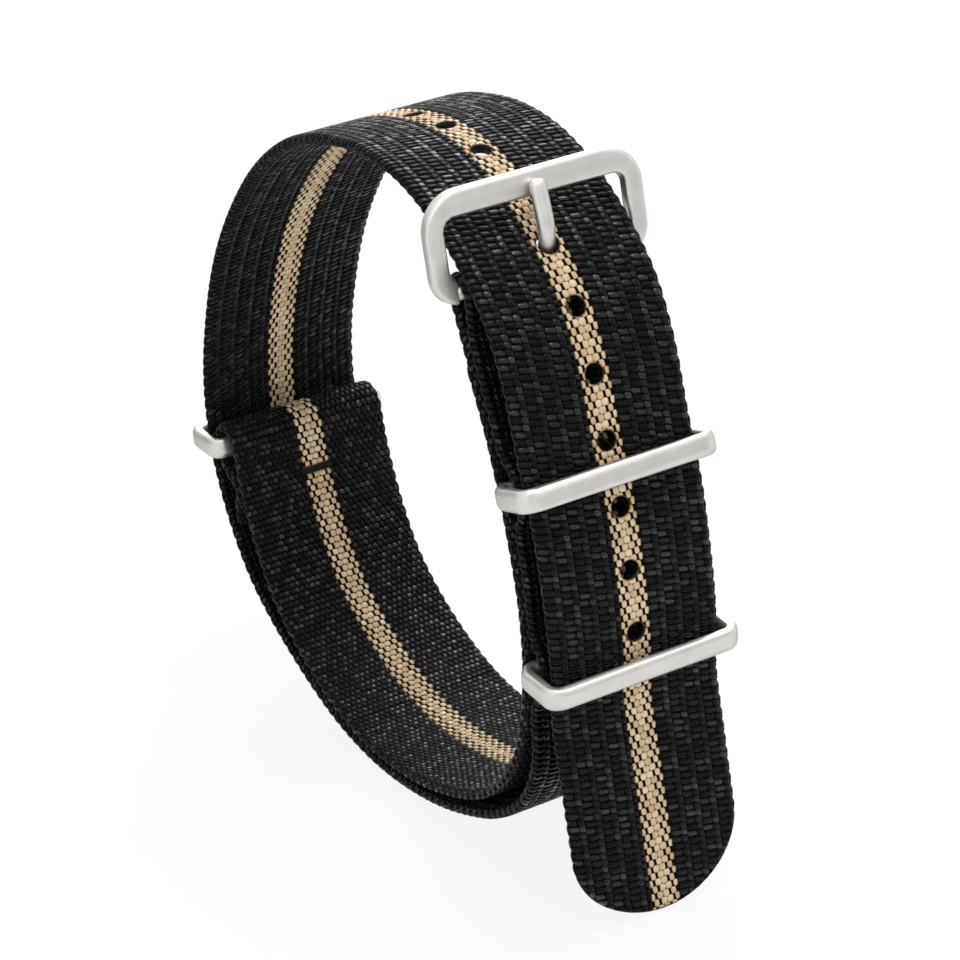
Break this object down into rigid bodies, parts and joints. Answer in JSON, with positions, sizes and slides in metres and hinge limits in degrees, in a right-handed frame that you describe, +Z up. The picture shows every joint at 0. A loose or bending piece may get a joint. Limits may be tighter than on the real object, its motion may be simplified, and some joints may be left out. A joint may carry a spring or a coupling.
{
  "type": "nylon watch strap",
  "caption": "Pass-through nylon webbing watch strap, buckled into a loop, with a pin buckle and keeper rings of stainless flat bar.",
  "frame": {"origin": "centre of the bounding box at the surface that the buckled loop stands on", "axes": "+X toward the front, where the tail hangs down through the keepers; +Y across the webbing; +Z up"},
  "size_m": [0.0838, 0.0252, 0.0785],
  "materials": {
    "webbing": "woven nylon, black with a tan centre stripe",
    "steel": "satin stainless",
    "weld": "nylon melted flat by an ultrasonic weld"
  },
  "bodies": {
    "webbing": {"long_strap": "webbing", "short_strap": "webbing", "weld_1": "weld", "weld_2": "weld", "weld_3": "weld", "weld_4": "weld", "weld_5": "weld", "weld_6": "weld"},
    "buckle": {"buckle_frame": "steel"},
    "tongue": {"buckle_tongue": "steel"},
    "keeper_upper": {"upper_keeper": "steel"},
    "keeper_lower": {"lower_keeper": "steel"},
    "keeper_end": {"end_keeper": "steel"}
  },
  "joints": [
    {"name": "buckle_hinge", "type": "hinge", "parent": "webbing", "child": "buckle", "pos_m": [0.02683, 0, 0.06762], "axis": [0, 1, 0], "range_deg": [-13, 0]},
    {"name": "tongue_hinge", "type": "hinge", "parent": "webbing", "child": "tongue", "pos_m": [0.02683, 0, 0.06762], "axis": [0, 1, 0], "range_deg": [0, 5]},
    {"name": "upper_keeper_slide", "type": "slide", "parent": "webbing", "child": "keeper_upper", "axis": [0.2467, 0, -0.9691], "range_m": [-0.0008, 0.0008]},
    {"name": "lower_keeper_slide", "type": "slide", "parent": "webbing", "child": "keeper_lower", "axis": [-0.0971, 0, -0.9953], "range_m": [-0.0008, 0.0008]},
    {"name": "end_keeper_hinge", "type": "hinge", "parent": "webbing", "child": "keeper_end", "pos_m": [-0.03542, 0, 0.02967], "axis": [0, 1, 0], "range_deg": [-8, 8]}
  ]
}
